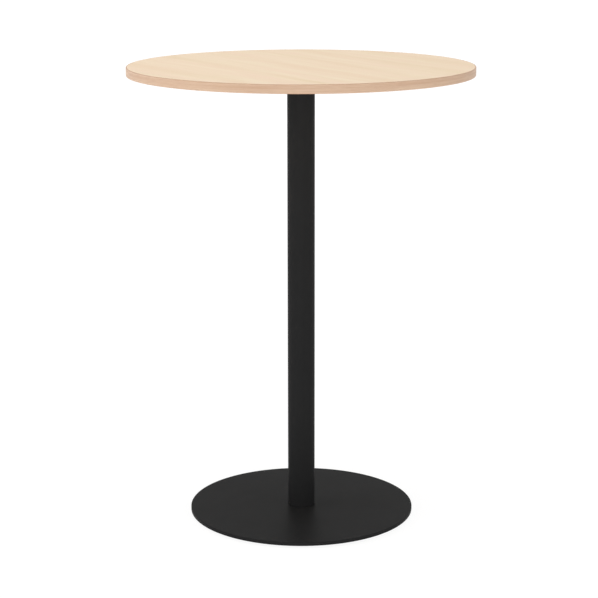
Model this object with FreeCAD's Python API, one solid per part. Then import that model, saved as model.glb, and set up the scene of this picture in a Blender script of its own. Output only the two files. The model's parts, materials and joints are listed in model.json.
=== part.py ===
import FreeCAD, Part
import math
import os

# A high table: a round laminated top on a slim round steel column and a flat steel disc.
# The top is chipboard, faced on both sides and banded round its rim. Eight screws hold it to a round
# steel mounting plate, whose welded spigot sits in the column's upper end. A hub, screwed to the
# disc, sits in the lower end. The tie rod between them clamps plate, column and disc together.
# Four glides with a screw thread carry the disc and level the table.
# All sizes are in millimetres. The origin is on the floor under the column's axis, with +Z up.

# Overall sizes
table_height = 1005.0
top_diameter = 750.0
base_diameter = 500.0
column_diameter = 60.0

# Table top
core_thickness = 17.0
facing_thickness = 0.8
edge_band_thickness = 2.0
edge_band_arris_share = 0.75
edge_band_joint = 0.2
glue_line = 0.1

# Column, base disc and the hub that centres the column on the disc
column_wall = 2.0
base_thickness = 8.0
base_edge_radius = 0.8
hub_height = 22.0
spigot_fit = 0.15
spigot_lead_in = 1.5

# Mounting plate and the spigot welded under it
mounting_plate_diameter = 300.0
mounting_plate_thickness = 5.0
mounting_plate_edge_radius = 0.8
head_spigot_floor = 9.0
nut_seat_margin = 3.0
head_weld_leg = 3.0
head_weld_margin = 2.0

# Tie rod, with its nuts and washer
tie_rod_diameter = 10.0
tie_rod_top_gap = 0.6
tie_rod_protrusion = 1.0
tie_rod_hub_recess = 2.0
tie_rod_nut_height = 8.4
tie_rod_nut_wall = 3.0
lock_nut_height = 5.0
tie_rod_washer_wall = 5.0
tie_rod_washer_thickness = 2.0

# Screws that hold the top to the mounting plate, their washers and their insert nuts
mounting_screw_count = 8
mounting_screw_inset = 20.0
mounting_screw_diameter = 6.0
mounting_screw_tip_gap = 3.6
mounting_screw_head_diameter = 10.5
mounting_screw_head_height = 3.3
mounting_screw_head_rim = 0.4
mounting_screw_socket = 4.0
mounting_screw_socket_depth = 2.1
mounting_washer_diameter = 12.5
mounting_washer_thickness = 1.6
insert_nut_cover = 4.8
insert_nut_diameter = 10.0
insert_nut_thread_depth = 0.6
insert_nut_thread_turns = 5
insert_nut_flange_diameter = 13.0
insert_nut_flange_thickness = 1.2
insert_nut_socket = 7.0
insert_nut_socket_depth = 2.5

# Countersunk screws that hold the hub to the base disc
hub_screw_count = 4
hub_screw_diameter = 8.0
hub_screw_hole_floor = 8.2
hub_screw_tip_gap = 1.5
hub_screw_head_diameter = 15.5
hub_screw_head_rim = 0.4
hub_screw_head_recess = 0.3
hub_screw_socket = 5.0
hub_screw_socket_depth = 2.8

# Glides
glide_count = 4
glide_first_angle = 45.0
glide_inset = 40.0
glide_thread_diameter = 8.0
glide_thread_gap = 0.4
glide_hole_skin = 1.4
glide_collar_across_flats = 13.0
glide_collar_thickness = 2.0
glide_neck_diameter = 6.0
glide_button_diameter = 10.0
glide_button_thickness = 1.0
glide_play = 0.1
glide_sole_thickness = 0.9
glide_lip_thickness = 0.9
glide_pad_diameter = 28.0
glide_pad_edge_radius = 0.8

# Fits and end shapes that all the fasteners share
close_fit = 0.05
screw_play = 0.5
thread_chamfer = 0.8
washer_chamfer = 0.3
hexagon_end_share = 0.93
hexagon_chamfer_angle = 30.0

# How far a cutting shape runs past the face that it cuts, and how near two heights count as one
overrun = 2.0
same_height = 0.001

# Heights of the glides and the base, from the floor up
sole_top = glide_sole_thickness
button_bottom = sole_top + glide_play
button_top = button_bottom + glide_button_thickness
pad_pocket_top = button_top + glide_play
pad_top = pad_pocket_top + glide_lip_thickness
base_bottom = pad_top + glide_collar_thickness
base_top = base_bottom + base_thickness
hub_top = base_top + hub_height

# Heights of the table top and the mounting plate, from the top down
core_top = table_height - facing_thickness
core_bottom = core_top - core_thickness
underside = core_bottom - facing_thickness
plate_bottom = underside - mounting_plate_thickness
insert_nut_top = core_top - insert_nut_cover
insert_nut_flange_top = underside + insert_nut_flange_thickness
tie_rod_top = underside - tie_rod_top_gap
tie_rod_nut_bottom = tie_rod_top - tie_rod_protrusion - tie_rod_nut_height
nut_seat = tie_rod_nut_bottom - tie_rod_washer_thickness
head_spigot_bottom = nut_seat - head_spigot_floor

# Radii that follow from the sizes above
top_radius = top_diameter / 2
facing_radius = top_radius - edge_band_thickness - glue_line
column_bore_radius = column_diameter / 2 - column_wall
spigot_radius = column_bore_radius - spigot_fit
tie_rod_radius = tie_rod_diameter / 2
tie_rod_thread_radius = tie_rod_radius + close_fit
tie_rod_washer_radius = tie_rod_radius + tie_rod_washer_wall
nut_seat_radius = tie_rod_washer_radius + nut_seat_margin
plate_opening_radius = nut_seat_radius + head_weld_margin + head_weld_leg
hub_screw_circle_radius = (spigot_radius + tie_rod_thread_radius) / 2
mounting_screw_circle_radius = mounting_plate_diameter / 2 - mounting_screw_inset
glide_circle_radius = base_diameter / 2 - glide_inset

up = FreeCAD.Vector(0, 0, 1)


def at_height(height):
    """The point of the table's axis at a height."""
    return FreeCAD.Vector(0, 0, height)


def cylinder(radius, bottom, top):
    """A round bar on the table's axis."""
    return Part.makeCylinder(radius, top - bottom, at_height(bottom))


def turned(outline):
    """A solid turned about the table's axis from corners given as (radius, height)."""
    corners = [FreeCAD.Vector(radius, 0, height) for radius, height in outline]
    section = Part.Face(Part.makePolygon(corners + corners[:1]))
    return section.revolve(at_height(0), up, 360)


def corner_radius(across_flats):
    """How far a hexagon's corners lie from its middle."""
    return across_flats / 2 / math.cos(math.radians(30))


def hexagon(across_flats, bottom, top):
    """A six-sided bar on the table's axis."""
    corners = []
    for index in range(6):
        angle = math.radians(60 * index)
        reach = corner_radius(across_flats)
        corners.append(FreeCAD.Vector(reach * math.cos(angle), reach * math.sin(angle), bottom))
    section = Part.Face(Part.makePolygon(corners + corners[:1]))
    return section.extrude(at_height(top - bottom))


def chamfered_hexagon(across_flats, bottom, top):
    """A six-sided bar whose corners are turned off at both ends, as on a nut."""
    reach = corner_radius(across_flats)
    end_radius = across_flats / 2 * hexagon_end_share
    drop = (reach - end_radius) * math.tan(math.radians(hexagon_chamfer_angle))
    envelope = turned([
        (0, bottom),
        (end_radius, bottom),
        (reach, bottom + drop),
        (reach, top - drop),
        (end_radius, top),
        (0, top),
    ])
    return hexagon(across_flats, bottom, top).common(envelope)


def chamfered_bar(radius, bottom, top, chamfer):
    """A round bar with a chamfer at both ends."""
    return turned([
        (0, bottom),
        (radius - chamfer, bottom),
        (radius, bottom + chamfer),
        (radius, top - chamfer),
        (radius - chamfer, top),
        (0, top),
    ])


def washer(radius, bore_radius, bottom, top):
    """A flat ring with its outer edges broken."""
    blank = chamfered_bar(radius, bottom, top, washer_chamfer)
    return blank.cut(cylinder(bore_radius, bottom - overrun, top + overrun))


def rim_edges(shape, radius, heights):
    """The round edges of a shape that have this radius and lie at one of these heights."""
    found = []
    for edge in shape.Edges:
        curve = edge.Curve
        if not isinstance(curve, Part.Circle) or not math.isclose(curve.Radius, radius):
            continue
        if any(abs(curve.Center.z - height) < same_height for height in heights):
            found.append(edge)
    return found


def rounded_disc(radius, bottom, top, edge_radius):
    """A round plate with both of its rims rounded."""
    disc = cylinder(radius, bottom, top)
    return disc.makeFillet(edge_radius, rim_edges(disc, radius, [bottom, top]))


def around(piece, circle_radius, count, first_angle=0):
    """Copies of a piece on the table's axis, moved out and spread evenly round the axis."""
    copies = []
    for index in range(count):
        copy = piece.copy()
        copy.translate(FreeCAD.Vector(circle_radius, 0, 0))
        copy.rotate(at_height(0), up, first_angle + 360 * index / count)
        copies.append(copy)
    return copies


def at_mounting_screws(piece):
    """A piece repeated at each screw of the mounting plate."""
    return around(piece, mounting_screw_circle_radius, mounting_screw_count)


def at_hub_screws(piece):
    """A piece repeated at each screw of the hub."""
    return around(piece, hub_screw_circle_radius, hub_screw_count)


def at_glides(piece):
    """A piece repeated at each glide."""
    return around(piece, glide_circle_radius, glide_count, glide_first_angle)


def top_laminate():
    """The upper facing, flush with the edge band."""
    return cylinder(facing_radius, core_top, table_height)


def insert_nut_pocket():
    """The stepped hole that takes an insert nut, from below the table top's underside."""
    flange_radius = insert_nut_flange_diameter / 2 + close_fit
    mouth = cylinder(flange_radius, underside - overrun, insert_nut_flange_top)
    bore = cylinder(insert_nut_diameter / 2 + close_fit, underside, insert_nut_top + close_fit)
    return mouth.fuse(bore)


def top_core():
    """The chipboard disc, with a blind pocket for each insert nut."""
    core = cylinder(facing_radius, core_bottom, core_top)
    return core.cut(at_mounting_screws(insert_nut_pocket()))


def underside_laminate():
    """The lower facing, drilled for the insert nuts."""
    facing = cylinder(facing_radius, underside, core_bottom)
    return facing.cut(at_mounting_screws(insert_nut_pocket()))


def edge_band():
    """The strip round the rim, its outer arrises rounded and its two ends butted at the back."""
    ring = rounded_disc(
        top_radius, underside, table_height, edge_band_thickness * edge_band_arris_share
    )
    bore_radius = top_radius - edge_band_thickness
    bore = cylinder(bore_radius, underside - overrun, table_height + overrun)
    joint = Part.makeBox(
        edge_band_joint,
        edge_band_thickness + 2 * overrun,
        table_height - underside + 2 * overrun,
        FreeCAD.Vector(-edge_band_joint / 2, bore_radius - overrun, underside - overrun),
    )
    return ring.cut([bore, joint])


def insert_nut():
    """A steel nut screwed into the chipboard: a flange, a coarse outer thread, a socket to drive it by."""
    thread_radius = insert_nut_diameter / 2
    root_radius = thread_radius - insert_nut_thread_depth
    pitch = (insert_nut_top - insert_nut_flange_top) / insert_nut_thread_turns
    outline = [
        (0, underside),
        (insert_nut_flange_diameter / 2, underside),
        (insert_nut_flange_diameter / 2, insert_nut_flange_top),
        (root_radius, insert_nut_flange_top),
    ]
    for turn in range(insert_nut_thread_turns):
        root = insert_nut_flange_top + turn * pitch
        outline.append((thread_radius, root + pitch / 2))
        outline.append((root_radius, root + pitch))
    outline.append((0, insert_nut_top))
    bore_radius = mounting_screw_diameter / 2 + close_fit
    bore = cylinder(bore_radius, underside - overrun, insert_nut_top + overrun)
    socket = hexagon(insert_nut_socket, underside - overrun, underside + insert_nut_socket_depth)
    return turned(outline).cut([bore, socket])


def mounting_washer():
    """A plain washer, held against the mounting plate's lower face."""
    bore_radius = mounting_screw_diameter / 2 + screw_play
    bottom = plate_bottom - mounting_washer_thickness
    return washer(mounting_washer_diameter / 2, bore_radius, bottom, plate_bottom)


def mounting_screw():
    """A button-head screw that points up through the washer and the plate into its insert nut."""
    seat = plate_bottom - mounting_washer_thickness
    crown = seat - mounting_screw_head_height
    socket_top = crown + mounting_screw_socket_depth
    tip = insert_nut_top - mounting_screw_tip_gap
    head_radius = mounting_screw_head_diameter / 2
    dome_height = mounting_screw_head_height - mounting_screw_head_rim
    dome_radius = (head_radius ** 2 + dome_height ** 2) / (2 * dome_height)
    dome = Part.makeSphere(dome_radius, at_height(crown + dome_radius))
    head = cylinder(head_radius, crown, seat).common(dome)
    shank_radius = mounting_screw_diameter / 2
    shank = turned([
        (0, socket_top),
        (shank_radius, socket_top),
        (shank_radius, tip - thread_chamfer),
        (shank_radius - thread_chamfer, tip),
        (0, tip),
    ])
    return head.fuse(shank).cut(hexagon(mounting_screw_socket, crown - overrun, socket_top))


def mounting_plate():
    """The round steel plate under the top, open in the middle for the tie rod's nut."""
    plate = rounded_disc(
        mounting_plate_diameter / 2, plate_bottom, underside, mounting_plate_edge_radius
    )
    opening = cylinder(plate_opening_radius, plate_bottom - overrun, underside + overrun)
    hole_radius = mounting_screw_diameter / 2 + screw_play
    screw_hole = cylinder(hole_radius, plate_bottom - overrun, underside + overrun)
    return plate.cut([opening] + at_mounting_screws(screw_hole))


def head_spigot():
    """The turned steel plug that centres the plate in the column, with the sunk seat of the nut."""
    plug = turned([
        (0, head_spigot_bottom),
        (spigot_radius - spigot_lead_in, head_spigot_bottom),
        (spigot_radius, head_spigot_bottom + spigot_lead_in),
        (spigot_radius, plate_bottom),
        (0, plate_bottom),
    ])
    seat = cylinder(nut_seat_radius, nut_seat, plate_bottom + overrun)
    bore = cylinder(tie_rod_radius + screw_play, head_spigot_bottom - overrun, nut_seat + overrun)
    return plug.cut([seat, bore])


def head_weld():
    """The weld bead in the plate's opening, between the plate and the spigot's upper face."""
    return turned([
        (plate_opening_radius - head_weld_leg, plate_bottom),
        (plate_opening_radius, plate_bottom),
        (plate_opening_radius, plate_bottom + head_weld_leg),
    ])


def tie_rod_washer():
    """A plain washer in the spigot's seat, under the upper nut."""
    return washer(tie_rod_washer_radius, tie_rod_radius + screw_play, nut_seat, tie_rod_nut_bottom)


def nut_on_tie_rod(bottom, height):
    """A six-sided nut on the tie rod."""
    across_flats = tie_rod_diameter + 2 * tie_rod_nut_wall
    blank = chamfered_hexagon(across_flats, bottom, bottom + height)
    return blank.cut(cylinder(tie_rod_thread_radius, bottom - overrun, bottom + height + overrun))


def tie_rod_nut():
    """The upper nut, which clamps plate, column and disc together."""
    return nut_on_tie_rod(tie_rod_nut_bottom, tie_rod_nut_height)


def hub_lock_nut():
    """The thin nut that locks the tie rod in the hub."""
    return nut_on_tie_rod(hub_top, lock_nut_height)


def tie_rod():
    """The rod from the hub, up the column's middle, to the upper nut."""
    return chamfered_bar(tie_rod_radius, base_top + tie_rod_hub_recess, tie_rod_top, thread_chamfer)


def column_tube():
    """The round steel tube that stands on the disc and carries the mounting plate."""
    tube = cylinder(column_diameter / 2, base_top, plate_bottom)
    return tube.cut(cylinder(column_bore_radius, base_top - overrun, plate_bottom + overrun))


def base_hub():
    """The turned steel plug that centres the column, tapped for the tie rod and the hub screws."""
    plug = turned([
        (0, base_top),
        (spigot_radius, base_top),
        (spigot_radius, hub_top - spigot_lead_in),
        (spigot_radius - spigot_lead_in, hub_top),
        (0, hub_top),
    ])
    rod_hole = cylinder(tie_rod_thread_radius, base_top - overrun, hub_top + overrun)
    screw_hole_radius = hub_screw_diameter / 2 + close_fit
    screw_hole = cylinder(screw_hole_radius, base_top - overrun, hub_top - hub_screw_hole_floor)
    return plug.cut([rod_hole] + at_hub_screws(screw_hole))


def countersunk(fit, bottom, rim_top, top):
    """The outside of a countersunk screw or, larger all round by a fit, the hole that takes it."""
    head_radius = hub_screw_head_diameter / 2 + fit
    shank_radius = hub_screw_diameter / 2 + fit
    return turned([
        (0, bottom),
        (head_radius, bottom),
        (head_radius, rim_top),
        (shank_radius, rim_top + head_radius - shank_radius),
        (shank_radius, top),
        (0, top),
    ])


def hub_screw():
    """A countersunk screw that points up through the disc into the hub."""
    face = base_bottom + hub_screw_head_recess
    tip = hub_top - hub_screw_hole_floor - hub_screw_tip_gap
    blank = countersunk(0, face, face + hub_screw_head_rim, tip)
    screw = blank.makeChamfer(thread_chamfer, rim_edges(blank, hub_screw_diameter / 2, [tip]))
    return screw.cut(hexagon(hub_screw_socket, face - overrun, face + hub_screw_socket_depth))


def base_plate():
    """The flat steel disc, countersunk below for the hub screws and tapped blind for the glides."""
    disc = rounded_disc(base_diameter / 2, base_bottom, base_top, base_edge_radius)
    rim_top = base_bottom + hub_screw_head_recess + hub_screw_head_rim
    screw_hole = countersunk(close_fit, base_bottom - overrun, rim_top, base_top + overrun)
    glide_hole_radius = glide_thread_diameter / 2 + close_fit
    glide_hole = cylinder(glide_hole_radius, base_bottom - overrun, base_top - glide_hole_skin)
    return disc.cut(at_hub_screws(screw_hole) + at_glides(glide_hole))


def glide_stud():
    """A glide's steel stud: a thread, a six-sided collar to turn it by, and a button in the pad."""
    thread_tip = base_top - glide_hole_skin - glide_thread_gap
    thread_radius = glide_thread_diameter / 2
    collar_middle = (pad_top + base_bottom) / 2
    spine = turned([
        (0, button_bottom),
        (glide_button_diameter / 2, button_bottom),
        (glide_button_diameter / 2, button_top),
        (glide_neck_diameter / 2, button_top),
        (glide_neck_diameter / 2, collar_middle),
        (thread_radius, collar_middle),
        (thread_radius, thread_tip - thread_chamfer),
        (thread_radius - thread_chamfer, thread_tip),
        (0, thread_tip),
    ])
    return chamfered_hexagon(glide_collar_across_flats, pad_top, base_bottom).fuse(spine)


def glide_pad():
    """A glide's plastic pad, snapped over the stud's button so that the stud turns in it."""
    pad = rounded_disc(glide_pad_diameter / 2, 0, pad_top, glide_pad_edge_radius)
    pocket = cylinder(glide_button_diameter / 2 + glide_play, sole_top, pad_pocket_top)
    throat = cylinder(glide_neck_diameter / 2 + glide_play, sole_top, pad_top + overrun)
    return pad.cut(pocket.fuse(throat))


def build():
    """Every sub-part by its name, each one solid or a group of like solids."""
    pieces = {
        "top_laminate": top_laminate(),
        "top_core": top_core(),
        "underside_laminate": underside_laminate(),
        "edge_band": edge_band(),
        "insert_nuts": Part.makeCompound(at_mounting_screws(insert_nut())),
        "mounting_screws": Part.makeCompound(at_mounting_screws(mounting_screw())),
        "mounting_washers": Part.makeCompound(at_mounting_screws(mounting_washer())),
        "mounting_plate": mounting_plate(),
        "head_spigot": head_spigot(),
        "head_weld": head_weld(),
        "tie_rod_washer": tie_rod_washer(),
        "tie_rod_nut": tie_rod_nut(),
        "tie_rod": tie_rod(),
        "column_tube": column_tube(),
        "hub_lock_nut": hub_lock_nut(),
        "base_hub": base_hub(),
        "hub_screws": Part.makeCompound(at_hub_screws(hub_screw())),
        "base_plate": base_plate(),
    }
    for number, stud in enumerate(at_glides(glide_stud()), start=1):
        pieces[f"glide_{number}_stud"] = stud
    for number, pad in enumerate(at_glides(glide_pad()), start=1):
        pieces[f"glide_{number}_pad"] = pad
    return pieces


def export():
    """One STEP file for each sub-part."""
    os.makedirs("parts", exist_ok=True)
    for name, shape in build().items():
        shape.exportStep(f"parts/{name}.step")


export()
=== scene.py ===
import json
import math

import bmesh
import bpy
from mathutils import Matrix, Vector

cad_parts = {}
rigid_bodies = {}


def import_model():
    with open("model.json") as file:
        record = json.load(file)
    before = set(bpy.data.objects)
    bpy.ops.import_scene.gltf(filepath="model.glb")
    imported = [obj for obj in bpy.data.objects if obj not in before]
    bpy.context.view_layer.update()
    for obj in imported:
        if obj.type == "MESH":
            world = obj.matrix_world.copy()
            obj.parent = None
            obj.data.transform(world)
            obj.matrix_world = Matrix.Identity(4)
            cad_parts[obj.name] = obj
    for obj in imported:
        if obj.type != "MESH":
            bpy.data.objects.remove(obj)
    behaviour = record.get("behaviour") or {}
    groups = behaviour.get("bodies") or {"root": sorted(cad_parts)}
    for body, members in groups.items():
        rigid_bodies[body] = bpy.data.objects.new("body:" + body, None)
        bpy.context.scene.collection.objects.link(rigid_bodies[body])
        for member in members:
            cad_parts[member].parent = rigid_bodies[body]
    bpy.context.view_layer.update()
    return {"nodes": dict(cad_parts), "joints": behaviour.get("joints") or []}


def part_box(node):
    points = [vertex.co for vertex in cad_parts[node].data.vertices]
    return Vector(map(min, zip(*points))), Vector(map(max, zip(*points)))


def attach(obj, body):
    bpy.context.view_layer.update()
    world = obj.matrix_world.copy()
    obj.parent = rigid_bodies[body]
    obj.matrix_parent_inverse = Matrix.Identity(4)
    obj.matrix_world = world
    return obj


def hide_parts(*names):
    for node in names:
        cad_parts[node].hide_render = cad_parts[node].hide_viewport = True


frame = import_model()

# Camera
# It stands 3.8 m in front of the table with its lens a little above the top, and looks 13 degrees down.
# The long lens keeps the column's sides nearly parallel, as in a catalogue picture.
camera_distance = 3.83559
camera_height = 1.38787
camera_pitch = math.radians(13.183)
camera_yaw = math.radians(-0.0732)
camera_roll = math.radians(-0.0706)
camera_sight = 200
lens_length = 107.1325
film_width = 36


def placed(name, data):
    """An object with this data, put into the scene."""
    holder = bpy.data.objects.new(name, data)
    bpy.context.collection.objects.link(holder)
    return holder


ahead = Vector((
    math.sin(camera_yaw) * math.cos(camera_pitch),
    math.cos(camera_yaw) * math.cos(camera_pitch),
    -math.sin(camera_pitch),
))
level_right = Vector((math.cos(camera_yaw), -math.sin(camera_yaw), 0))
level_up = level_right.cross(ahead)
right = math.cos(camera_roll) * level_right + math.sin(camera_roll) * level_up
lens = bpy.data.cameras.new("camera")
lens.lens = lens_length
lens.sensor_width = film_width
lens.clip_end = camera_sight
camera = placed("camera", lens)
camera.matrix_world = Matrix.Translation((0, -camera_distance, camera_height)) @ Matrix(
    (right, right.cross(ahead), -ahead)
).transposed().to_4x4()
bpy.context.scene.camera = camera
bpy.context.scene.view_settings.view_transform = "Standard"

# Studio
# A wide white floor in a dim even room, with a large soft lamp overhead, the light that comes back up off
# the floor, and lamps at the left, at the right and low in front. The floor keeps a faint shadow.
floor_radius = 70
floor_sides = 128
floor_own_share = 0.85
floor_own_light = 1.08
floor_fade_start = 2
floor_fade_end = 6
floor_white = (0.93, 0.93, 0.93, 1)
room_light = 0.3
top_place = Vector((0, 0, 6))
top_width = 3
top_power = 145
bounce_place = Vector((0, 0, 0.001))
bounce_width = 6
bounce_power = 43
left_place = Vector((-3.2, -0.45, 1.9))
left_width = 2.2
left_power = 39
right_place = Vector((2.9, -1.9, 1.4))
right_width = 2.0
right_power = 19
front_place = Vector((-0.35, -3.0, 0.52))
front_width = 1.6
front_power = 27
lit_point = Vector((0, 0, 0.6))


def seen_directly(graph):
    """A node's output that is 1 for rays from the camera, a reflection or a clear material."""
    path = graph.nodes.new("ShaderNodeLightPath")
    seen = path.outputs["Is Camera Ray"]
    for other in ("Is Glossy Ray", "Is Transmission Ray"):
        either = graph.nodes.new("ShaderNodeMath")
        either.operation = "MAXIMUM"
        graph.links.new(seen, either.inputs[0])
        graph.links.new(path.outputs[other], either.inputs[1])
        seen = either.outputs[0]
    return seen


def white_room():
    """A world of even light, which is plain white where it is seen directly."""
    room = bpy.data.worlds.new("room")
    room.use_nodes = True
    graph = room.node_tree
    graph.nodes.clear()
    lighting = graph.nodes.new("ShaderNodeBackground")
    lighting.inputs["Strength"].default_value = room_light
    white = graph.nodes.new("ShaderNodeBackground")
    mix = graph.nodes.new("ShaderNodeMixShader")
    output = graph.nodes.new("ShaderNodeOutputWorld")
    for background in (lighting, white):
        background.inputs["Color"].default_value = (1, 1, 1, 1)
    graph.links.new(seen_directly(graph), mix.inputs[0])
    graph.links.new(lighting.outputs[0], mix.inputs[1])
    graph.links.new(white.outputs[0], mix.inputs[2])
    graph.links.new(mix.outputs[0], output.inputs["Surface"])
    return room


def white_floor_paint():
    """Floor paint that is nearly white by itself where it is seen directly, and clear from below.

    Further out it is all its own light.
    """
    paint = bpy.data.materials.new("floor_paint")
    paint.use_nodes = True
    graph = paint.node_tree
    graph.nodes.clear()
    matte = graph.nodes.new("ShaderNodeBsdfDiffuse")
    matte.inputs["Color"].default_value = floor_white
    own_light = graph.nodes.new("ShaderNodeEmission")
    own_light.inputs["Strength"].default_value = floor_own_light
    share = graph.nodes.new("ShaderNodeMath")
    share.operation = "MULTIPLY"
    place = graph.nodes.new("ShaderNodeTexCoord")
    reach = graph.nodes.new("ShaderNodeVectorMath")
    reach.operation = "LENGTH"
    own_share = graph.nodes.new("ShaderNodeMapRange")
    own_share.inputs["From Min"].default_value = floor_fade_start
    own_share.inputs["From Max"].default_value = floor_fade_end
    own_share.inputs["To Min"].default_value = floor_own_share
    seen_mix = graph.nodes.new("ShaderNodeMixShader")
    clear = graph.nodes.new("ShaderNodeBsdfTransparent")
    side = graph.nodes.new("ShaderNodeNewGeometry")
    side_mix = graph.nodes.new("ShaderNodeMixShader")
    output = graph.nodes.new("ShaderNodeOutputMaterial")
    graph.links.new(place.outputs["Object"], reach.inputs[0])
    graph.links.new(reach.outputs["Value"], own_share.inputs["Value"])
    graph.links.new(seen_directly(graph), share.inputs[0])
    graph.links.new(own_share.outputs["Result"], share.inputs[1])
    graph.links.new(share.outputs[0], seen_mix.inputs[0])
    graph.links.new(matte.outputs[0], seen_mix.inputs[1])
    graph.links.new(own_light.outputs[0], seen_mix.inputs[2])
    graph.links.new(side.outputs["Backfacing"], side_mix.inputs[0])
    graph.links.new(seen_mix.outputs[0], side_mix.inputs[1])
    graph.links.new(clear.outputs[0], side_mix.inputs[2])
    graph.links.new(side_mix.outputs[0], output.inputs["Surface"])
    return paint


def soft_lamp(name, place, width, power, mirrored=True):
    """A square lamp that faces the table, and that glossy pieces mirror or don't."""
    light = bpy.data.lights.new(name, "AREA")
    light.shape = "SQUARE"
    light.size = width
    light.energy = power
    lamp = placed(name, light)
    lamp.location = place
    lamp.rotation_euler = (lit_point - place).to_track_quat("-Z", "Y").to_euler()
    lamp.visible_camera = False
    lamp.visible_glossy = mirrored


floor_mesh = bmesh.new()
bmesh.ops.create_circle(floor_mesh, cap_ends=True, segments=floor_sides, radius=floor_radius)
floor_data = bpy.data.meshes.new("floor")
floor_mesh.to_mesh(floor_data)
floor_mesh.free()
floor_data.materials.append(white_floor_paint())
floor = placed("floor", floor_data)
bpy.context.scene.world = white_room()
soft_lamp("top_lamp", top_place, top_width, top_power)
soft_lamp("floor_bounce", bounce_place, bounce_width, bounce_power, False)
soft_lamp("left_lamp", left_place, left_width, left_power)
soft_lamp("right_lamp", right_place, right_width, right_power)
soft_lamp("front_lamp", front_place, front_width, front_power)

# Base disc
# A flat steel disc, 8 mm thick, cut round with its edges eased, countersunk below for the hub screws and
# tapped for the glides. It gets a black powder coat: baked on, nearly matt, with a fine even grain.
disc_sides = 360
disc_edge_radius = 0.0008
disc_flat_margin = 0.0005
screw_sides = 48
round_off_steps = 4
sharp_corner = math.radians(32)
screw_fit = 0.00005
hub_screw_count = 4
countersink_radius = 0.0078
countersink_rim = 0.0007
hub_hole_radius = 0.00405
glide_hole_radius = 0.00405
glide_hole_skin = 0.0014
coat_black = (0.0182, 0.0182, 0.0185, 1)
coat_black_thin = (0.0208, 0.0208, 0.0211, 1)
coat_shine = 0.019
coat_roughness = (0.42, 0.50)
coat_cloud_size = 0.045
coat_cloud_layers = 4
coat_ripple_size = 0.0012
coat_ripple_height = 0.00002
coat_grain_size = 0.0004
coat_grain_height = 0.000008


def start_finish(name):
    """A new material, its surface shader, and a function that adds nodes to it."""
    finish = bpy.data.materials.new(name)
    finish.use_nodes = True
    graph = finish.node_tree

    def add(kind, sockets, **settings):
        made = graph.nodes.new("ShaderNode" + kind)
        for setting, value in settings.items():
            setattr(made, setting, value)
        for socket, value in sockets.items():
            if isinstance(value, bpy.types.NodeSocket):
                graph.links.new(value, made.inputs[socket])
            else:
                made.inputs[socket].default_value = value
        return made

    def feed(socket, value):
        graph.links.new(value, graph.nodes["Principled BSDF"].inputs[socket])

    return graph.nodes["Principled BSDF"].inputs, add, feed, finish


def speckle(add, place, size, layers=2):
    """Noise between 0 and 1 whose lumps are about this size, in metres, with finer layers over them."""
    sockets = {"Vector": place, "Scale": 1 / size, "Detail": layers}
    return add("TexNoise", sockets).outputs["Fac"]


def blend(add, share, low, high):
    """A colour between two colours."""
    sockets = {"Fac": share, "Color1": low, "Color2": high}
    return add("MixRGB", sockets).outputs["Color"]


def between(add, share, low, high):
    """A number between two numbers."""
    sockets = {"Value": share, "To Min": low, "To Max": high}
    return add("MapRange", sockets).outputs["Result"]


def relief(add, height, depth, below=None):
    """The slope of a surface that stands up to this depth, in metres, over the one below it."""
    sockets = {"Height": height, "Distance": depth}
    if below:
        sockets["Normal"] = below
    return add("Bump", sockets).outputs["Normal"]


def powder_coat():
    """Black powder coat on steel."""
    shader, add, feed, finish = start_finish("powder_coat")
    place = add("TexCoord", {}).outputs["Object"]
    clouds = speckle(add, place, coat_cloud_size, coat_cloud_layers)
    ripple = speckle(add, place, coat_ripple_size)
    grain = speckle(add, place, coat_grain_size)
    feed("Base Color", blend(add, clouds, coat_black, coat_black_thin))
    feed("Roughness", between(add, clouds, *coat_roughness))
    rippled = relief(add, ripple, coat_ripple_height)
    feed("Normal", relief(add, grain, coat_grain_height, rippled))
    shader["Specular IOR Level"].default_value = coat_shine
    return finish


def ring(mesh, radius, height, sides=screw_sides, middle=(0, 0)):
    """A round of corners. Radius and height are one number, or one for each corner."""
    radii = radius if isinstance(radius, list) else [radius] * sides
    heights = height if isinstance(height, list) else [height] * sides
    corners = []
    for index in range(sides):
        angle = 2 * math.pi * index / sides
        x = middle[0] + radii[index] * math.cos(angle)
        y = middle[1] + radii[index] * math.sin(angle)
        corners.append(mesh.verts.new((x, y, heights[index])))
    return corners


def skin(mesh, first, second):
    """Faces between two rounds of corners."""
    for index in range(len(first)):
        mesh.faces.new((first[index - 1], first[index], second[index], second[index - 1]))


def turn(mesh, outline, sides=screw_sides, start=None, middle=(0, 0)):
    """Skins rounds of corners, one for each (radius, height), and gives back the first and the last."""
    rounds = [start] if start else []
    for radius, height in outline:
        rounds.append(ring(mesh, radius, height, sides, middle))
    for first, second in zip(rounds, rounds[1:]):
        skin(mesh, first, second)
    return rounds[0], rounds[-1]


def round_off(radius, height, out, up, size):
    """The points of a rounded corner whose sides lead out and up from its middle."""
    points = []
    for step in range(round_off_steps + 1):
        angle = math.pi / 2 * step / round_off_steps
        points.append((radius + out * size * math.sin(angle), height + up * size * math.cos(angle)))
    return points


def eased_rim(mesh, radius, bottom, top, size):
    """The wall of a round plate with both rims rounded, and the rounds that bound its flat faces."""
    flat_radius = radius - size - disc_flat_margin
    lower = round_off(radius - size, bottom + size, 1, -1, size)
    upper = round_off(radius - size, top - size, 1, 1, size)
    return turn(mesh, [(flat_radius, bottom)] + lower + upper[::-1] + [(flat_radius, top)], disc_sides)


def pierced_face(mesh, rounds):
    """Fills the flat face between a round of corners and the rounds of the holes in it."""
    edges = []
    for corners in rounds:
        for index in range(len(corners)):
            edges.append(mesh.edges.get((corners[index - 1], corners[index])))
    bmesh.ops.triangle_fill(mesh, edges=edges, use_beauty=True)


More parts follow.
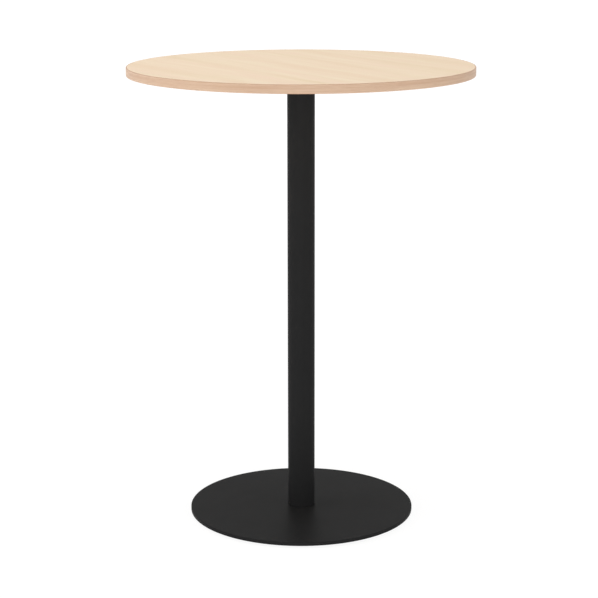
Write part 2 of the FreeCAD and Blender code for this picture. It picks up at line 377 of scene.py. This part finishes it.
def places_round(reach, count):
    """The middles of pieces that are spread evenly round the table's axis."""
    places = []
    for index in range(count):
        angle = 2 * math.pi * index / count
        places.append((reach * math.cos(angle), reach * math.sin(angle)))
    return places


def close(mesh, corners, height, middle=(0, 0)):
    """Closes a round of corners with a point in its middle."""
    tip = mesh.verts.new((*middle, height))
    for index in range(len(corners)):
        mesh.faces.new((corners[index - 1], corners[index], tip))


def make_piece(name, mesh, finish):
    """An object with this mesh and finish, smooth but for its sharp corners."""
    bmesh.ops.recalc_face_normals(mesh, faces=mesh.faces)
    data = bpy.data.meshes.new(name)
    mesh.to_mesh(data)
    mesh.free()
    data.shade_smooth()
    data.set_sharp_from_angle(angle=sharp_corner)
    data.materials.append(finish)
    return placed(name, data)


def paint_node(name, finish):
    """Gives a CAD node its finish."""
    data = frame["nodes"][name].data
    data.materials.clear()
    data.materials.append(finish)


coat = powder_coat()
low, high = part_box("base_plate")
hub_screw_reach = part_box("hub_screws")[1].x - countersink_radius + screw_fit
mesh = bmesh.new()
disc_bottom, disc_top = eased_rim(mesh, high.x, low.z, high.z, disc_edge_radius)
lower_rounds = [disc_bottom]
upper_rounds = [disc_top]
countersink = [
    (countersink_radius, low.z),
    (countersink_radius, low.z + countersink_rim),
    (hub_hole_radius, low.z + countersink_rim + countersink_radius - hub_hole_radius),
    (hub_hole_radius, high.z),
]
for middle in places_round(hub_screw_reach, hub_screw_count):
    mouth, far_mouth = turn(mesh, countersink, middle=middle)
    lower_rounds.append(mouth)
    upper_rounds.append(far_mouth)
glide_hole = [(glide_hole_radius, low.z), (glide_hole_radius, high.z - glide_hole_skin)]
for joint in frame["joints"]:
    if joint["type"] == "hinge":
        middle = joint["pos_m"][:2]
        mouth, hole_end = turn(mesh, glide_hole, middle=middle)
        close(mesh, hole_end, high.z - glide_hole_skin, middle)
        lower_rounds.append(mouth)
pierced_face(mesh, lower_rounds)
pierced_face(mesh, upper_rounds)
base_disc = make_piece("base_disc", mesh, coat)
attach(base_disc, "table")
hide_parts("base_plate")

# Hub
# A plug of steel bar, turned to fit the column's bore and chamfered at its mouth. Four screws from
# below hold it to the disc, and its tapped middle takes the tie rod.
steel_bright = (0.56, 0.56, 0.55, 1)
steel_dull = (0.42, 0.42, 0.415, 1)
turned_roughness = (0.24, 0.40)
tool_mark_width = 0.00022
tool_mark_depth = 0.000012
steel_cloud_size = 0.012
steel_cloud_layers = 3


def turned_steel():
    """Bare steel with the fine rings that a lathe tool leaves."""
    shader, add, feed, finish = start_finish("lathe_steel")
    place = add("TexCoord", {}).outputs["Object"]
    apart = add("SeparateXYZ", {"Vector": place}).outputs
    flat = add("CombineXYZ", {"X": apart["X"], "Y": apart["Y"]}).outputs[0]
    reach = add("VectorMath", {"Vector": flat}, operation="LENGTH").outputs["Value"]
    lathe_place = add("CombineXYZ", {"X": reach, "Y": apart["Z"]}).outputs[0]
    marks = speckle(add, lathe_place, tool_mark_width)
    clouds = speckle(add, place, steel_cloud_size, steel_cloud_layers)
    feed("Base Color", blend(add, clouds, steel_dull, steel_bright))
    feed("Roughness", between(add, marks, *turned_roughness))
    feed("Normal", relief(add, marks, tool_mark_depth))
    shader["Metallic"].default_value = 1
    return finish


bare_steel = turned_steel()
paint_node("base_hub", bare_steel)

# Hub screws
# Four countersunk M8 x 20 screws of black steel, driven up through the disc into the hub with a
# 5 mm key. Their heads lie just below the disc's lower face.
screw_black = (0.030, 0.030, 0.032, 1)
screw_grey = (0.060, 0.060, 0.064, 1)
screw_roughness = (0.30, 0.46)
screw_clouds = (0.003, 4)
screw_grain = (0.0004, 0.000008)
thread_profile = ((0, 0), (0.25, 0), (0.5625, 1), (0.6875, 1))
thread_depth_share = 0.6134
thread_run_out_turns = 0.75
thread_end_turns = 0.3
hub_screw_radius = 0.004
hub_screw_pitch = 0.00125
hub_screw_head_radius = 0.00775
hub_screw_head_rim = 0.0004
hub_screw_socket = 0.005
hub_screw_socket_depth = 0.0028
socket_chamfer = 0.0002
drill_point = 0.0008
thread_chamfer = 0.0008


def hexagon(across_flats, sides=screw_sides):
    """How far a hexagon's outline lies from its middle, at each corner of a ring."""
    reaches = []
    for index in range(sides):
        from_flat = 2 * math.pi * index / sides % (math.pi / 3) - math.pi / 6
        reaches.append(across_flats / 2 / math.cos(from_flat))
    return reaches


def wind_thread(mesh, lower, upper, radius, pitch, depth):
    """One ridge that climbs from a lower ring to an upper ring and runs out before both."""
    sides = len(lower)
    rise = upper[0].co.z - lower[0].co.z
    turns = math.floor(rise / pitch - thread_end_turns)
    bottom = lower[0].co.z + (rise - turns * pitch) / 2
    points = len(thread_profile)
    last_row = points * (turns - 1)

    def corner(index, row):
        done = row // points + index / sides
        share, crest = thread_profile[row % points]
        left = turns - 1 - done
        fade = max(0, min(1, done / thread_run_out_turns, left / thread_run_out_turns))
        reach = radius - depth * (1 - crest * fade)
        angle = 2 * math.pi * index / sides
        height = bottom + pitch * (done + share)
        return mesh.verts.new((reach * math.cos(angle), reach * math.sin(angle), height))

    columns = [[corner(index, row) for row in range(last_row + 1)] for index in range(sides)]
    columns[0] += [corner(0, row) for row in range(last_row + 1, last_row + points + 1)]
    columns.append(columns[0][points:])
    for one, two in zip(columns, columns[1:]):
        for row in range(last_row):
            mesh.faces.new((one[row], two[row], two[row + 1], one[row + 1]))
    for index in range(sides - 1):
        one, two = columns[index], columns[index + 1]
        mesh.faces.new((lower[index], lower[index + 1], two[0], one[0]))
        mesh.faces.new((one[last_row], two[last_row], upper[index + 1], upper[index]))
    start, end = columns[0], columns[sides - 1]
    mesh.faces.new([lower[-1], lower[0]] + start[:points + 1] + [end[0]])
    run_out = list(reversed(start[last_row:]))
    mesh.faces.new([end[last_row]] + run_out + [upper[0], upper[-1]])


def thread_root(radius, pitch):
    """The radius at the bottom of a metric thread."""
    return radius - thread_depth_share * pitch


def screw_shank(mesh, seat, radius, pitch, bottom, tip):
    """The threaded shank above a screw's head, from a ring at its seat to its chamfered tip."""
    root = thread_root(radius, pitch)
    lower = turn(mesh, [(root, bottom)], start=seat)[1]
    upper = ring(mesh, root, tip - thread_chamfer / 2)
    wind_thread(mesh, lower, upper, radius, pitch, radius - root)
    end = turn(mesh, [(root - thread_chamfer / 2, tip)], start=upper)[1]
    close(mesh, end, tip)


def key_socket(mesh, across_flats, mouth, floor):
    """A six-sided socket with a drilled floor, and the round of corners at its chamfered mouth."""
    flats = hexagon(across_flats)
    mouth_radius = max(flats) + socket_chamfer
    bottom, edge = turn(mesh, [
        (flats, floor),
        (flats, mouth + socket_chamfer),
        (mouth_radius, mouth),
    ])
    close(mesh, bottom, floor + drill_point)
    return edge


def spread_round(mesh, reach, count, first_angle=0):
    """One mesh with a copy of a single piece at each place round the table's axis."""
    single = bpy.data.meshes.new("single")
    mesh.to_mesh(single)
    mesh.free()
    copies = bmesh.new()
    for index in range(count):
        copy = single.copy()
        angle = first_angle + 2 * math.pi * index / count
        copy.transform(Matrix.Rotation(angle, 4, "Z") @ Matrix.Translation((reach, 0, 0)))
        copies.from_mesh(copy)
        bpy.data.meshes.remove(copy)
    bpy.data.meshes.remove(single)
    return copies


def clouded_finish(name, colours, roughness, clouds, grain):
    """A finish with clouds of two colours and a fine grain, and its surface shader.

    The clouds are given by their size and layers, and the grain by its size and height.
    """
    shader, add, feed, finish = start_finish(name)
    place = add("TexCoord", {}).outputs["Object"]
    share = speckle(add, place, *clouds)
    feed("Base Color", blend(add, share, *colours))
    feed("Roughness", between(add, share, *roughness))
    grain_size, grain_height = grain
    feed("Normal", relief(add, speckle(add, place, grain_size), grain_height))
    return finish, shader


def black_oxide():
    """Oiled black steel, as on key-driven screws."""
    colours = (screw_black, screw_grey)
    finish, shader = clouded_finish("black_oxide", colours, screw_roughness, screw_clouds, screw_grain)
    shader["Metallic"].default_value = 1
    return finish


black_steel = black_oxide()
low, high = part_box("hub_screws")
rim_top = low.z + hub_screw_head_rim
seat_top = rim_top + hub_screw_head_radius - hub_screw_radius
mesh = bmesh.new()
mouth = key_socket(mesh, hub_screw_socket, low.z, low.z + hub_screw_socket_depth)
seat = turn(mesh, [
    (hub_screw_head_radius, low.z),
    (hub_screw_head_radius, rim_top),
    (hub_screw_radius, seat_top),
], start=mouth)[1]
screw_shank(mesh, seat, hub_screw_radius, hub_screw_pitch, seat_top + hub_screw_pitch, high.z)
mesh = spread_round(mesh, hub_screw_reach, hub_screw_count)
countersunk_screws = make_piece("countersunk_screws", mesh, black_steel)
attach(countersunk_screws, "table")
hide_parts("hub_screws")

# Glides
# Four zinc-plated M8 studs screw into the disc from below. Each has a six-sided collar to turn it by
# and a button that is snapped into a black nylon pad, which stands on the floor.
glide_thread_radius = 0.004
glide_pitch = 0.00125
glide_collar_across = 0.013
glide_collar_thickness = 0.002
glide_neck_radius = 0.003
glide_button_radius = 0.005
glide_button_thickness = 0.001
glide_button_chamfer = 0.00015
hexagon_end_share = 0.93
hexagon_slope = math.tan(math.radians(30))
zinc_bright = (0.66, 0.67, 0.66, 1)
zinc_warm = (0.60, 0.58, 0.50, 1)
zinc_roughness = (0.26, 0.42)
zinc_clouds = (0.006, 4)
zinc_grain = (0.0003, 0.000003)
nylon_black = (0.012, 0.012, 0.0125, 1)
nylon_grey = (0.020, 0.020, 0.0205, 1)
nylon_roughness = (0.48, 0.60)
nylon_clouds = (0.004, 3)
nylon_grain = (0.0004, 0.000012)
nylon_shine = 0.3


def zinc_plate():
    """Bright zinc plating with the faint yellow clouds of its sealing bath."""
    colours = (zinc_bright, zinc_warm)
    finish, shader = clouded_finish("zinc_plate", colours, zinc_roughness, zinc_clouds, zinc_grain)
    shader["Metallic"].default_value = 1
    return finish


def moulded_nylon():
    """Black nylon with the fine texture of its mould."""
    colours = (nylon_black, nylon_grey)
    finish, shader = clouded_finish("moulded_nylon", colours, nylon_roughness, nylon_clouds, nylon_grain)
    shader["Specular IOR Level"].default_value = nylon_shine
    return finish


def nut_flats(mesh, across_flats, bottom, top, start):
    """A hexagon whose corners are turned off at both ends, from an inner ring to its upper end."""
    flats = hexagon(across_flats, len(start))
    end_radius = across_flats / 2 * hexagon_end_share
    drops = [(reach - end_radius) * hexagon_slope for reach in flats]
    return turn(mesh, [
        (end_radius, bottom),
        (flats, [bottom + drop for drop in drops]),
        (flats, [top - drop for drop in drops]),
        (end_radius, top),
    ], len(start), start)[1]


zinc = zinc_plate()
nylon = moulded_nylon()
for joint in frame["joints"]:
    if joint["type"] != "hinge":
        continue
    body = joint["child"]
    glide_number = body.split("_")[1]
    low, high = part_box(body)
    collar_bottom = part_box(joint["parent"])[1].z
    collar_top = collar_bottom + glide_collar_thickness
    mesh = bmesh.new()
    button, neck = turn(mesh, [
        (glide_button_radius - glide_button_chamfer, low.z),
        (glide_button_radius, low.z + glide_button_chamfer),
        (glide_button_radius, low.z + glide_button_thickness - glide_button_chamfer),
        (glide_button_radius - glide_button_chamfer, low.z + glide_button_thickness),
        (glide_neck_radius, low.z + glide_button_thickness),
        (glide_neck_radius, collar_bottom),
    ])
    close(mesh, button, low.z)
    collar = nut_flats(mesh, glide_collar_across, collar_bottom, collar_top, neck)
    screw_shank(mesh, collar, glide_thread_radius, glide_pitch, collar_top, high.z)
    x, y = joint["pos_m"][:2]
    mesh = spread_round(mesh, math.hypot(x, y), 1, math.atan2(y, x))
    levelling_stud = make_piece(f"levelling_stud_{glide_number}", mesh, zinc)
    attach(levelling_stud, body)
    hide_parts(body)
    paint_node(joint["parent"], nylon)

# Tie rod and lock nut
# An M10 threaded rod, plated with zinc, that runs up the column's middle. It is screwed into the hub
# and locked there by a thin nut.
tie_rod_pitch = 0.0015
tie_rod_sides = 24

low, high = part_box("tie_rod")
tie_rod_radius = (high.x - low.x) / 2
root = thread_root(tie_rod_radius, tie_rod_pitch)
mesh = bmesh.new()
foot, lower = turn(mesh, [
    (root - thread_chamfer / 2, low.z),
    (root, low.z + thread_chamfer / 2),
], tie_rod_sides)
upper, head = turn(mesh, [
    (root, high.z - thread_chamfer / 2),
    (root - thread_chamfer / 2, high.z),
], tie_rod_sides)
wind_thread(mesh, lower, upper, tie_rod_radius, tie_rod_pitch, tie_rod_radius - root)
close(mesh, foot, low.z)
close(mesh, head, high.z)
threaded_rod = make_piece("threaded_rod", mesh, zinc)
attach(threaded_rod, "table")
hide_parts("tie_rod")
paint_node("hub_lock_nut", zinc)

# Column
# A round steel tube, 60 mm across with a 2 mm wall, cut square, deburred and powder-coated like the disc.
# It stands on the disc round the hub, and the tie rod clamps it there.
column_sides = 240
column_wall = 0.002
column_end_radius = 0.0004
column_end_margin = 0.001

low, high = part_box("column_tube")
column_radius = (high.x - low.x) / 2
bore_radius = column_radius - column_wall
eased_radius = column_radius - column_end_radius
mesh = bmesh.new()
outer_foot = round_off(eased_radius, low.z + column_end_radius, 1, -1, column_end_radius)
outer_foot.append((column_radius, low.z + column_end_radius + column_end_margin))
outer_head = round_off(eased_radius, high.z - column_end_radius, 1, 1, column_end_radius)
outer_head.append((column_radius, high.z - column_end_radius - column_end_margin))
outline = [(bore_radius, low.z)] + outer_foot + outer_head[::-1] + [(bore_radius, high.z)]
first, last = turn(mesh, outline, column_sides)
skin(mesh, last, first)
coated_column = make_piece("coated_column", mesh, coat)
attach(coated_column, "table")
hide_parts("column_tube")

# Mounting plate and spigot
# A round steel plate, 300 x 5 mm and powder-coated, with a turned spigot welded into its middle from
# above. The spigot centres it in the column's upper end.
plate_edge_radius = 0.0008
plate_hole_radius = 0.0035
plate_hole_inset = 0.020
mounting_screw_count = 8
bead_sides = 240
bead_ripples = 60
bead_ripple_share = 0.16
bead_sag_share = 0.12
bead_face_steps = 6
weld_straw = (0.44, 0.37, 0.26, 1)
weld_blue = (0.30, 0.33, 0.40, 1)
weld_roughness = (0.30, 0.50)
weld_tints = (0.004, 2)
weld_grain = (0.0005, 0.00002)


def welded_steel():
    """Weld metal with the straw and blue tints of its heat."""
    colours = (weld_straw, weld_blue)
    finish, shader = clouded_finish("welded_steel", colours, weld_roughness, weld_tints, weld_grain)
    shader["Metallic"].default_value = 1
    return finish


def upright(mesh, outline, angle):
    """Corners along an outline of (radius, height) that stands at an angle round the table's axis."""
    corners = []
    for radius, height in outline:
        corners.append(mesh.verts.new((radius * math.cos(angle), radius * math.sin(angle), height)))
    return corners


low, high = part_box("head_weld")
bead_reach = (high.x - low.x) / 2
bead_leg = high.z - low.z
mesh = bmesh.new()
sections = []
for index in range(bead_sides):
    angle = 2 * math.pi * index / bead_sides
    ripple = (index * bead_ripples / bead_sides) % 1
    dip = bead_sag_share + bead_ripple_share * (1 - math.sqrt(ripple))
    section = [(bead_reach, low.z)]
    for step in range(bead_face_steps + 1):
        share = step / bead_face_steps
        sink = dip * bead_leg * math.sin(math.pi * share) / 2
        section.append((bead_reach - bead_leg * share + sink, high.z - bead_leg * share - sink))
    section[-1] = (bead_reach - bead_leg, low.z)
    sections.append(upright(mesh, section, angle))
for index in range(bead_sides):
    skin(mesh, sections[index - 1], sections[index])
weld_bead = make_piece("weld_bead", mesh, welded_steel())
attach(weld_bead, "table")
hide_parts("head_weld")
low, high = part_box("mounting_plate")
mesh = bmesh.new()
plate_bottom, plate_top = eased_rim(mesh, high.x, low.z, high.z, plate_edge_radius)
opening_bottom, opening_top = turn(mesh, [(bead_reach, low.z), (bead_reach, high.z)])
lower_rounds = [plate_bottom, opening_bottom]
upper_rounds = [plate_top, opening_top]
for middle in places_round(high.x - plate_hole_inset, mounting_screw_count):
    mouth, far_mouth = turn(mesh, [(plate_hole_radius, low.z), (plate_hole_radius, high.z)], middle=middle)
    lower_rounds.append(mouth)
    upper_rounds.append(far_mouth)
pierced_face(mesh, lower_rounds)
pierced_face(mesh, upper_rounds)
coated_plate = make_piece("coated_plate", mesh, coat)
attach(coated_plate, "table")
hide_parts("mounting_plate")
paint_node("head_spigot", bare_steel)

# Upper nut and washer of the tie rod
# A zinc-plated M10 nut and its washer in the spigot's sunk seat. Tightened with a socket key, the nut
# clamps plate, column and disc together.
paint_node("tie_rod_nut", zinc)
paint_node("tie_rod_washer", zinc)

# Board of the table top
# A chipboard disc, 17 mm thick, pressed from glued wood chips: fine and dense at both faces, coarser in
# the middle. Eight blind pockets are bored in it from below.
chip_pale = (0.62, 0.47, 0.29, 1)
chip_dark = (0.36, 0.24, 0.12, 1)
chip_size = 0.0035
chip_dust_size = 0.0006
chip_dust_layers = 3
chip_depth = 0.00015
chip_shine = 0.2
chip_roughness = (0.75, 0.90)


def chipboard():
    """Pressed wood chips."""
    shader, add, feed, finish = start_finish("pressed_chips")
    place = add("TexCoord", {}).outputs["Object"]
    chips = add("TexVoronoi", {"Vector": place, "Scale": 1 / chip_size}).outputs
    tone = add("SeparateColor", {"Color": chips["Color"]}).outputs[0]
    dust = speckle(add, place, chip_dust_size, chip_dust_layers)
    mixed = add("Math", {0: tone, 1: dust}, operation="MULTIPLY").outputs[0]
    feed("Base Color", blend(add, mixed, chip_pale, chip_dark))
    feed("Roughness", between(add, dust, *chip_roughness))
    feed("Normal", relief(add, mixed, chip_depth))
    shader["Specular IOR Level"].default_value = chip_shine
    return finish


paint_node("top_core", chipboard())

# Facings of the table top
# Both faces of the board carry a 0.8 mm laminate with a pale maple decor under a satin clear layer.
# The grain of the upper one runs from the back left to the front right.
facing_sides = 360
facing_edge = 0.0001
grain_turn = math.radians(-57)
underside_shift = 3.1
maple_pale = (0.910, 0.756, 0.566, 1)
maple_dark = (0.852, 0.678, 0.474, 1)
maple_pink = (0.884, 0.684, 0.510, 1)
maple_line = (0.785, 0.602, 0.380, 1)
laminate_shine = 0.22
laminate_roughness = (0.50, 0.60)
noise_middle = 0.5
band_size = 0.026
band_stretch = 16
band_layers = 3
band_share = (-0.6, 1.5)
fibre_size = 0.0016
fibre_stretch = 80
fibre_share = (-0.30, 0.54)
patch_size = 0.05
patch_stretch = 7
patch_share = (-1.1, 1.9)
fade_size = 0.06
fade_stretch = 4
fade_share = (-0.6, 2.4)
grain_wander_size = 0.25
grain_wander = 0.030
fleck_size = 0.0005
fleck_stretch = 20
pore_start = 0.66
pore_end = 0.76
pore_strength = 0.15
pore_depth = 0.00001
# Darker soft bands of the grain: how far across the grain each lies, how much it leans per metre, its
# half width and its strength.
dark_bands = (
    (-0.290, -0.02, 0.018, 0.30),
    (-0.150, -0.03, 0.012, 0.32),
    (-0.022, -0.02, 0.022, 0.18),
    (0.085, -0.05, 0.015, 0.24),
    (0.196, -0.02, 0.020, 0.28),
    (0.308, -0.03, 0.022, 0.32),
)


def number(add, operation, *values):
    """The result of a sum on numbers."""
    return add("Math", dict(enumerate(values)), operation=operation).outputs[0]


def stretched(add, along, across, size, stretch, layers=2):
    """Noise whose lumps are this size across the grain and longer along it, between 0 and 1."""
    longer = number(add, "DIVIDE", along, stretch)
    place = add("CombineXYZ", {"X": longer, "Y": across}).outputs[0]
    return speckle(add, place, size, layers)


def soft_band(add, place, middle, half_width):
    """A share that is 1 at a band's middle, a half at its half width, and fades out beyond."""
    off = number(add, "DIVIDE", number(add, "SUBTRACT", place, middle), half_width)
    return number(add, "POWER", 2, number(add, "MULTIPLY", number(add, "POWER", off, 2), -1))


def maple_decor(name, shift, bands_across):
    """Laminate printed with straight-grained maple, with soft dark bands where they are listed."""
    shader, add, feed, finish = start_finish(name)
    place = add("TexCoord", {}).outputs["Object"]
    wander = speckle(add, place, grain_wander_size, layers=1)
    grain = add("Mapping", {
        "Vector": place,
        "Location": (shift, shift, 0),
        "Rotation": (0, 0, -grain_turn),
    }).outputs[0]
    apart = add("SeparateXYZ", {"Vector": grain}).outputs
    along = apart["X"]
    bent = number(add, "MULTIPLY", number(add, "SUBTRACT", wander, noise_middle), grain_wander)
    across = number(add, "ADD", apart["Y"], bent)
    bands = stretched(add, along, across, band_size, band_stretch, band_layers)
    fibres = stretched(add, along, across, fibre_size, fibre_stretch)
    flecks = stretched(add, along, across, fleck_size, fleck_stretch, layers=1)
    patches = stretched(add, along, across, patch_size, patch_stretch)
    fade = between(add, stretched(add, along, across, fade_size, fade_stretch), *fade_share)
    wood = blend(add, between(add, bands, *band_share), maple_pale, maple_dark)
    wood = blend(add, between(add, patches, *patch_share), wood, maple_pink)
    streaks = between(add, fibres, *fibre_share)
    for start, lean, half_width, strength in bands_across:
        middle = number(add, "MULTIPLY_ADD", along, lean, start)
        dark = number(add, "MULTIPLY", soft_band(add, across, middle, half_width), strength)
        streaks = number(add, "ADD", streaks, number(add, "MULTIPLY", dark, fade))
    pores = add("MapRange", {"Value": flecks, "From Min": pore_start, "From Max": pore_end}).outputs[0]
    streaks = number(add, "ADD", streaks, number(add, "MULTIPLY", pores, pore_strength))
    feed("Base Color", blend(add, number(add, "MINIMUM", streaks, 1), wood, maple_line))
    feed("Roughness", between(add, fibres, *laminate_roughness))
    feed("Normal", relief(add, number(add, "SUBTRACT", 1, pores), pore_depth))
    shader["Specular IOR Level"].default_value = laminate_shine
    return finish


low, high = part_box("top_laminate")
facing_radius = (high.x - low.x) / 2
mesh = bmesh.new()
bottom, top = turn(mesh, [
    (facing_radius, low.z),
    (facing_radius, high.z - facing_edge),
    (facing_radius - facing_edge, high.z),
], facing_sides)
close(mesh, bottom, low.z)
close(mesh, top, high.z)
upper_facing = make_piece("upper_facing", mesh, maple_decor("maple_decor", 0, dark_bands))
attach(upper_facing, "table")
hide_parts("top_laminate")
paint_node("underside_laminate", maple_decor("maple_decor_below", underside_shift, ()))

# Edge band
# A 2 mm plastic strip with a printed maple decor, a little darker than the facings, glued round the rim.
# Its arrises are milled round, and its ends are butted at the back. Shade is painted onto it towards both
# arrises.
band_thickness = 0.002
band_arris = 0.0015
band_joint = 0.0002
band_arris_margin = 0.0004
band_steps = 480
band_pale = (0.716, 0.525, 0.380, 1)
band_dark = (0.628, 0.421, 0.290, 1)
# The dark colour of the strip's grain lines, also used for the shade painted towards its arrises.
band_line_and_shade_colour = (0.516, 0.305, 0.190, 1)
band_shine = 0.25
band_roughness = (0.42, 0.52)
band_grain_size = 0.0040
band_grain_stretch = 40
band_grain_layers = 3
band_grain_share = (-0.7, 1.6)
band_fibre_size = 0.0007
band_fibre_stretch = 40
band_fibre_share = (-0.35, 0.65)
vein_height = 0.0022
vein_half_width = 0.0023
vein_wander = 0.004
vein_wander_size = 0.25
vein_strength = 0.18
# How dark the shade painted onto the edge strip towards its arrises becomes.
band_arris_painted_shade = 0.85


def banded_edge(radius, middle, half_height):
    """Plastic edge strip printed with maple whose grain runs round the rim, with painted shade towards
    both arrises.
    """
    shader, add, feed, finish = start_finish("edge_strip")
    place = add("TexCoord", {}).outputs["Object"]
    apart = add("SeparateXYZ", {"Vector": place}).outputs
    forward = number(add, "MULTIPLY", apart["Y"], -1)
    angle = number(add, "ARCTAN2", apart["X"], forward)
    along = number(add, "MULTIPLY", angle, radius)
    bands = stretched(add, along, apart["Z"], band_grain_size, band_grain_stretch, band_grain_layers)
    fibres = stretched(add, along, apart["Z"], band_fibre_size, band_fibre_stretch)
    wood = blend(add, between(add, bands, *band_grain_share), band_pale, band_dark)
    above = number(add, "SUBTRACT", apart["Z"], middle)
    wander = speckle(add, add("CombineXYZ", {"X": along}).outputs[0], vein_wander_size)
    rise = number(add, "SUBTRACT", wander, noise_middle)
    vein_middle = number(add, "MULTIPLY_ADD", rise, vein_wander, vein_height)
    vein = soft_band(add, above, vein_middle, vein_half_width)
    off_middle = number(add, "ABSOLUTE", above)
    # Painted shade: the strip's colour darkens towards both arrises, where less light falls on the rounds.
    painted_arris_shade = add("MapRange", {
        "Value": off_middle,
        "From Min": half_height - band_arris,
        "From Max": half_height,
        "To Max": band_arris_painted_shade,
    }, interpolation_type="SMOOTHSTEP").outputs[0]
    lines_and_painted_shade = number(add, "ADD", between(add, fibres, *band_fibre_share), painted_arris_shade)
    lines_and_painted_shade = number(add, "ADD", lines_and_painted_shade, number(add, "MULTIPLY", vein, vein_strength))
    feed("Base Color", blend(add, number(add, "MINIMUM", lines_and_painted_shade, 1), wood, band_line_and_shade_colour))
    feed("Roughness", between(add, fibres, *band_roughness))
    feed("Normal", relief(add, fibres, pore_depth))
    shader["Specular IOR Level"].default_value = band_shine
    return finish


low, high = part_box("edge_band")
band_radius = high.x
band_inner = band_radius - band_thickness
arris_middle = band_radius - band_arris
upper_arris = round_off(arris_middle, high.z - band_arris, 1, 1, band_arris)
upper_arris.append((band_radius, high.z - band_arris - band_arris_margin))
lower_arris = round_off(arris_middle, low.z + band_arris, 1, -1, band_arris)
lower_arris.append((band_radius, low.z + band_arris + band_arris_margin))
section = [(band_inner, high.z)] + upper_arris + lower_arris[::-1] + [(band_inner, low.z)]
mesh = bmesh.new()
sections = []
joint_half_angle = band_joint / band_radius / 2
for step in range(band_steps + 1):
    share = step / band_steps
    angle = math.pi / 2 + joint_half_angle + (2 * math.pi - 2 * joint_half_angle) * share
    sections.append(upright(mesh, section, angle))
for first, second in zip(sections, sections[1:]):
    skin(mesh, first, second)
mesh.faces.new(sections[0])
mesh.faces.new(sections[-1])
band_finish = banded_edge(band_radius, (low.z + high.z) / 2, (high.z - low.z) / 2)
edge_strip = make_piece("edge_strip", mesh, band_finish)
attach(edge_strip, "table")
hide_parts("edge_band")

# Insert nuts
# Eight zinc-plated M6 nuts with a coarse wood thread outside and a flange below. A 7 mm key screws
# them into the board's pockets until the flange is flush with the underside.
insert_radius = 0.005
insert_thread_depth = 0.0006
insert_pitch = 0.0023
insert_flange_radius = 0.0065
insert_flange_thickness = 0.0012
insert_socket = 0.007
insert_socket_depth = 0.0025
insert_bore_radius = 0.00305

low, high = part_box("insert_nuts")
mounting_reach = high.x - insert_flange_radius
insert_root = insert_radius - insert_thread_depth
flange_top = low.z + insert_flange_thickness
flats = hexagon(insert_socket)
mesh = bmesh.new()
mouth, lower = turn(mesh, [
    (flats, low.z),
    (insert_flange_radius, low.z),
    (insert_flange_radius, flange_top),
    (insert_root, flange_top),
])
upper, socket_floor = turn(mesh, [
    (insert_root, high.z),
    (insert_bore_radius, high.z),
    (insert_bore_radius, low.z + insert_socket_depth),
    (flats, low.z + insert_socket_depth),
])
wind_thread(mesh, lower, upper, insert_radius, insert_pitch, insert_thread_depth)
skin(mesh, socket_floor, mouth)
mesh = spread_round(mesh, mounting_reach, mounting_screw_count)
wood_inserts = make_piece("wood_inserts", mesh, zinc)
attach(wood_inserts, "table")
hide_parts("insert_nuts")

# Mounting screws and washers
# Eight button-head M6 x 16 screws of black steel with plain washers, driven up through the mounting
# plate into the inserts with a 4 mm key. They hold the top on.
mounting_screw_radius = 0.003
mounting_screw_pitch = 0.001
mounting_screw_head_radius = 0.00525
mounting_screw_head_height = 0.0033
mounting_screw_head_rim = 0.0004
mounting_screw_socket = 0.004
mounting_screw_socket_depth = 0.0021
crown_steps = 8

seat_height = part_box("mounting_washers")[0].z
tip_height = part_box("mounting_screws")[1].z
crown_tip = seat_height - mounting_screw_head_height
crown_height = mounting_screw_head_height - mounting_screw_head_rim
crown_radius = (mounting_screw_head_radius ** 2 + crown_height ** 2) / (2 * crown_height)


def crown_level(radius):
    """The height of the head's crown at a distance from its axis."""
    return crown_tip + crown_radius - math.sqrt(crown_radius ** 2 - radius ** 2)


mesh = bmesh.new()
mouth_radius = mounting_screw_socket / 2 / math.cos(math.pi / 6) + socket_chamfer
socket_floor = crown_tip + mounting_screw_socket_depth
mouth = key_socket(mesh, mounting_screw_socket, crown_level(mouth_radius), socket_floor)
crown = []
for step in range(1, crown_steps + 1):
    radius = mouth_radius + (mounting_screw_head_radius - mouth_radius) * step / crown_steps
    crown.append((radius, crown_level(radius)))
seat = turn(mesh, crown + [(mounting_screw_head_radius, seat_height)], start=mouth)[1]
screw_shank(mesh, seat, mounting_screw_radius, mounting_screw_pitch, seat_height, tip_height)
mesh = spread_round(mesh, mounting_reach, mounting_screw_count)
button_screws = make_piece("button_screws", mesh, black_steel)
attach(button_screws, "table")
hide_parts("mounting_screws")
paint_node("mounting_washers", black_steel)
